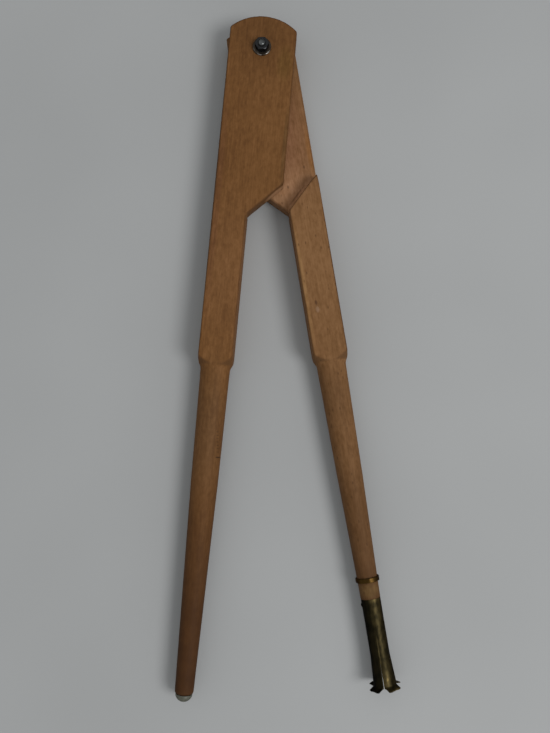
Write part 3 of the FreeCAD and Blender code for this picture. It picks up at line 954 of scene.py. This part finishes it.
@dataclass
class ChalkHolder:
    """The slit brass tube with its bent tabs, its tack and the ring.

    Angles go around the tube in degrees from straight up, towards +X. Each slit starts a
    finger, and each finger's tab has its own bend. The front slit keeps only a share of its
    width, slit_left, from its upper end to the tube's end.
    """

    turn: float
    body: str = "chalk_side"
    axis_across: float = 11.0 * MM
    axis_height: float = 11.0 * MM
    slit_angles: tuple[float, ...] = (-13.0, 77.0, 183.4, 257.0)
    tab_bends: tuple[float, ...] = (0.0, 0.6 * MM, 2.2 * MM, 0.2 * MM)
    tab_root: float = 7.3 * MM
    tab_reach: float = 9.6 * MM
    finger_start: float = 396.0 * MM
    finger_end: float = 413.6 * MM
    slit_reach: float = 0.9 * MM
    slit_slack: float = 0.01
    slit_left: tuple[float, float] = (0.08, 0.4)
    tube: MetalFinish = MetalFinish(
        "tarnished_brass",
        skin=srgb(26, 23, 13),
        skin_pale=srgb(58, 50, 30),
        metal=srgb(140, 120, 74),
        skin_roughness=0.43,
        metal_roughness=0.3,
        spot_share=0.16,
        edge_share=0.12,
        # Painted shade on the tube's side away from the lamp.
        shaded_side_from=10.2 * MM,
        shaded_side_to=8.2 * MM,
    )
    ring: MetalFinish = MetalFinish(
        "ring_brass",
        skin=srgb(44, 30, 10),
        skin_pale=srgb(66, 48, 20),
        metal=srgb(140, 112, 64),
        skin_roughness=0.36,
        metal_roughness=0.28,
        spot_share=0.16,
        edge_share=0.15,
    )

    def build(self, frame: dict) -> None:
        """Make the tube over its solid, and dress the tube, tack and ring.

        Args:
            frame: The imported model.
        """
        brass = self.tube.material(self.turn)
        piece = self.bent_tube(frame["nodes"]["chalk_tube"])
        dress(piece, brass)
        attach(piece, self.body)
        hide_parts("chalk_tube")
        dress(frame["nodes"]["tube_tack"], brass)
        dress(frame["nodes"]["clamp_ring"], self.ring.material())

    def bent_tube(self, solid: bpy.types.Object) -> bpy.types.Object:
        """Copy the tube, bend back its tabs and press its front slit together.

        Args:
            solid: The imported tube.

        Returns:
            The new piece.
        """
        place = Matrix.Rotation(self.turn, 4, "Z")
        place = place @ Matrix.Translation((self.axis_across, 0, self.axis_height))
        mesh = solid.data.copy()
        mesh.transform(place.inverted())
        for vertex in mesh.vertices:
            self.bend_tab(vertex.co)
            self.press_slit(vertex.co)
        mesh.transform(place)
        piece = bpy.data.objects.new("chalk_tube_brass", mesh)
        bpy.context.scene.collection.objects.link(piece)
        return piece

    def bend_tab(self, point: Vector) -> None:
        """Move a point of a tab back along the tube, most at the tab's end.

        Args:
            point: A vertex, with the tube's axis along Y through the origin.
        """
        past_root = math.hypot(point.x, point.z) - self.tab_root
        if past_root > 0:
            bend = self.tab_bends[self.finger_at(math.degrees(math.atan2(point.x, point.z)))]
            point.y += bend * min(past_root / (self.tab_reach - self.tab_root), 1.0)

    def press_slit(self, point: Vector) -> None:
        """Move a point on a wall of the front slit towards the slit's middle.

        Args:
            point: A vertex, with the tube's axis along Y through the origin.
        """
        angle = math.radians(self.slit_angles[0])
        middle = Vector((math.sin(angle), 0, math.cos(angle)))
        across = Vector((math.cos(angle), 0, -math.sin(angle)))
        aside = point.dot(across)
        beside = abs(aside) < self.slit_reach and point.dot(middle) > 0
        along = (-point.y - self.finger_start) / (self.finger_end - self.finger_start)
        if beside and along > -self.slit_slack:
            upper, lower = self.slit_left
            left = upper + (lower - upper) * min(along, 1.0)
            point += across * aside * (left - 1)

    def finger_at(self, angle: float) -> int:
        """Say which finger lies at an angle.

        Args:
            angle: Degrees around the tube.

        Returns:
            The finger's number, counted from the first slit.
        """
        first = self.slit_angles[0]
        turned = (angle - first) % 360
        return sum(turned >= (slit - first) % 360 for slit in self.slit_angles) - 1


@dataclass
class RubberFoot:
    """The rubber stud, whose solid stays and gets its finish."""

    finish: RubberFinish = RubberFinish(
        "aged_rubber",
        pale=srgb(76, 76, 63),
        stained=srgb(54, 54, 43),
    )
    node: str = "rubber_stud"

    def build(self, frame: dict) -> None:
        """Dress the stud.

        Args:
            frame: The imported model.
        """
        dress(frame["nodes"][self.node], self.finish.material())


@dataclass
class Studio:
    """The table, the soft light and the camera."""

    table_size: float = 6.0
    camera_place: tuple[float, float, float] = (-0.06 * MM, -250.84 * MM, 486.99 * MM)
    camera_pitch: float = math.radians(5.0)
    camera_yaw: float = math.radians(-0.141)
    camera_roll: float = math.radians(-2.026)
    focal_pixels: float = 741.0
    frame_height_pixels: float = 733.0
    sensor: float = 36.0
    subject: tuple[float, float, float] = (0.0, -0.2, 0.0)
    key_distance: float = 2.0
    key_size: float = 0.92
    key_azimuth: float = math.radians(-25)
    key_elevation: float = math.radians(53)
    key_power: float = 22.7
    sky_strength: float = 0.6
    sky_colour: Colour = (0.97, 0.99, 1.0, 1.0)
    nearest_shown: float = 0.01

    def build(self) -> None:
        """Set up everything around the object."""
        self.table()
        self.lights()
        self.camera()
        bpy.context.scene.view_settings.view_transform = "Standard"

    def table(self) -> None:
        """Lay the table under the compass."""
        mesh = bpy.data.meshes.new("table")
        half = self.table_size / 2
        corners = [(-half, -half, 0), (half, -half, 0), (half, half, 0), (-half, half, 0)]
        mesh.from_pydata(corners, [], [(0, 1, 2, 3)])
        table = bpy.data.objects.new("table", mesh)
        bpy.context.scene.collection.objects.link(table)
        mesh.materials.append(TableFinish().material())

    def lights(self) -> None:
        """Hang one large soft lamp on the right, and light the rest from an even sky."""
        lamp = bpy.data.lights.new("key", "AREA")
        lamp.shape = "DISK"
        lamp.size = self.key_size
        lamp.energy = self.key_power
        flat = math.cos(self.key_elevation)
        towards = Vector((
            math.cos(self.key_azimuth) * flat,
            math.sin(self.key_azimuth) * flat,
            math.sin(self.key_elevation),
        ))
        key = bpy.data.objects.new("key", lamp)
        key.location = Vector(self.subject) + towards * self.key_distance
        key.rotation_euler = towards.to_track_quat("Z", "Y").to_euler()
        bpy.context.scene.collection.objects.link(key)
        world = bpy.data.worlds.new("sky")
        world.use_nodes = True
        background = world.node_tree.nodes["Background"]
        background.inputs["Color"].default_value = self.sky_colour
        background.inputs["Strength"].default_value = self.sky_strength
        bpy.context.scene.world = world

    def camera(self) -> None:
        """Set the camera where the photograph was taken from."""
        data = bpy.data.cameras.new("camera")
        data.sensor_width = self.sensor
        data.lens = self.focal_pixels / self.frame_height_pixels * self.sensor
        data.clip_start = self.nearest_shown
        camera = bpy.data.objects.new("camera", data)
        turn = Matrix.Rotation(self.camera_pitch, 4, "X")
        turn = turn @ Matrix.Rotation(self.camera_yaw, 4, "Y")
        turn = turn @ Matrix.Rotation(self.camera_roll, 4, "Z")
        camera.matrix_world = Matrix.Translation(Vector(self.camera_place)) @ turn
        bpy.context.scene.collection.objects.link(camera)
        bpy.context.scene.camera = camera


SHOULDER_TURN = math.radians(-45)
PIVOT_LEG_FINISH = BeechFinish(
    "pivot_leg_beech",
    dark=srgb(90, 58, 28),
    middle=srgb(102, 68, 35),
    pale=srgb(113, 77, 43),
    end_grain=srgb(84, 57, 32),
    grime_and_shade=srgb(52, 29, 10),
    # Darker towards the tip: partly handling dirt, partly painted shade of the dimmer lower leg.
    grime_and_shade_from=195 * MM,
    grime_and_shade_to=405 * MM,
    grime_and_shade_share=0.84,
    tip_from=411.5 * MM,
    fleck_share=0.12,
    marks=(
        # The head is darker from handling, and the square stock below it paler.
        Mark((0, 12), (34, 52), srgb(82, 53, 25), 0.6, soft=1.0),
        Mark((-10, -150), (30, 70), srgb(112, 77, 46), 0.5, soft=1.0),
        # A browner strip runs inside the outer edge, and the outermost strip with the outer side face is
        # painted dark, as painted shade on the shaded side.
        Mark((-19.2, -105), (2.8, 100), srgb(95, 61, 35), 0.6),
        Mark((-22, -90), (1.8, 125), srgb(66, 44, 28), 0.7, soft=0.8),
        # The start of the turned part is faded.
        Mark((-11, -250), (14, 62), srgb(102, 75, 48), 0.5, soft=1.0),
        # The inner edge of the front plate is stained.
        Mark((16, -10), (7, 16), srgb(92, 66, 28), 0.5),
        Mark((20.4, -66), (1.6, 34), srgb(80, 58, 31), 0.5),
        # The plate's slanted end is darker on the left; on the right it is painted much paler, as painted
        # light that brightens that face.
        Mark((5.5, -106.5), (3, 9), srgb(84, 60, 40), 0.75, SHOULDER_TURN, 0.6, level=15.5, depth=5.5),
        Mark((17.5, -94.5), (3, 11), srgb(150, 112, 80), 0.85, SHOULDER_TURN, 0.6, level=15.5, depth=5.5),
        # A row of fine scratches, and a dent below it.
        Mark((-3.5, -268.5), (1.9, 0.5), srgb(40, 26, 14), 0.85, soft=0.5),
        *(
            Mark((-5.2 + 0.2 * step, -252.5 - 2.1 * step), (1.0, 0.38), srgb(56, 36, 20), 0.6, soft=0.6)
            for step in range(7)
        ),
    ),
)
CHALK_LEG_FINISH = BeechFinish(
    "chalk_leg_beech",
    dark=srgb(99, 68, 38),
    middle=srgb(112, 79, 48),
    pale=srgb(123, 89, 57),
    end_grain=srgb(86, 60, 36),
    grime_and_shade=srgb(54, 32, 12),
    # Darker towards the tip: partly handling dirt, partly painted shade of the dimmer lower leg.
    grime_and_shade_from=190 * MM,
    grime_and_shade_to=385 * MM,
    grime_and_shade_share=0.68,
    tip_from=400 * MM,
    fleck_share=0.5,
    marks=(
        # The front of the back plate is bare wood, browner along its outer edge.
        Mark((5, -60), (26, 60), srgb(128, 89, 62), 0.75, soft=1.0),
        Mark((20.2, -70), (2.4, 22), srgb(124, 82, 42), 0.6),
        # Beside the slanted shoulder the lap carries painted light, paler where the shoulder's shadow
        # falls, and a thin painted shadow line at the shoulder's foot.
        Mark((2, -95), (28, 22), srgb(154, 114, 82), 0.8, soft=1.0, level=11, depth=4),
        Mark((11, -99.4), (8, 22), srgb(172, 124, 88), 0.8, SHOULDER_TURN, 1.0, level=11, depth=4),
        Mark((-5, -98.5), (6, 4), srgb(142, 108, 78), 0.5),
        Mark((7.3, -98.4), (0.9, 12), srgb(80, 52, 32), 0.6, SHOULDER_TURN, 0.9, level=11.5, depth=3.5),
        # The wood between the ring and the tube has lost its varnish.
        Mark((11, -355.5), (10, 7), srgb(150, 122, 74), 0.5, soft=0.8),
        # The end of the back plate is bare.
        Mark((-5.5, -103.5), (14, 3.5), srgb(134, 100, 70), 0.85, SHOULDER_TURN, 0.6, level=5, depth=6),
        # Three pin pricks.
        Mark((2.5, -91.9), (0.8, 1.6), srgb(60, 38, 22), 0.6),
        Mark((15.1, -80.2), (0.7, 1.8), srgb(60, 38, 22), 0.6),
        Mark((-3.2, -101.9), (0.8, 1.2), srgb(60, 38, 22), 0.5),
        # The square stock has a pale inner edge, a knock with a smear beside it, and a dark
        # outer edge.
        Mark((1.6, -160), (1.8, 52), srgb(130, 97, 60), 0.6),
        Mark((7.1, -172.6), (1.2, 2.5), srgb(72, 46, 28), 0.8, soft=0.8),
        Mark((7.4, -177), (1.7, 2.8), srgb(140, 112, 90), 0.55),
        Mark((22, -165), (1.5, 62), srgb(76, 52, 31), 0.65, soft=0.8),
        # The start of the turned part is dark, with a faint line around it.
        Mark((11, -232), (14, 30), srgb(80, 54, 30), 0.45, soft=1.0),
        Mark((11, -252), (14, 0.7), srgb(66, 44, 26), 0.12),
    ),
)


def main() -> None:
    """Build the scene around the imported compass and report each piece."""
    logging.basicConfig(level=logging.INFO, format="%(name)s: %(message)s")
    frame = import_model()
    slide = next(joint for joint in frame["joints"] if joint["name"] == "ring_slide")
    half_opening = math.atan2(slide["axis"][0], -slide["axis"][1])
    legs = [
        WoodenLeg(Side.PIVOT, "pivot_leg", "pivot_side", PIVOT_LEG_FINISH, half_opening),
        WoodenLeg(Side.CHALK, "chalk_leg", "chalk_side", CHALK_LEG_FINISH, half_opening),
    ]
    for leg in legs:
        leg.build(frame["nodes"][leg.node])
    HingeFasteners().build(frame)
    ChalkHolder(half_opening).build(frame)
    RubberFoot().build(frame)
    Studio().build()


if __name__ == "__main__":
    main()
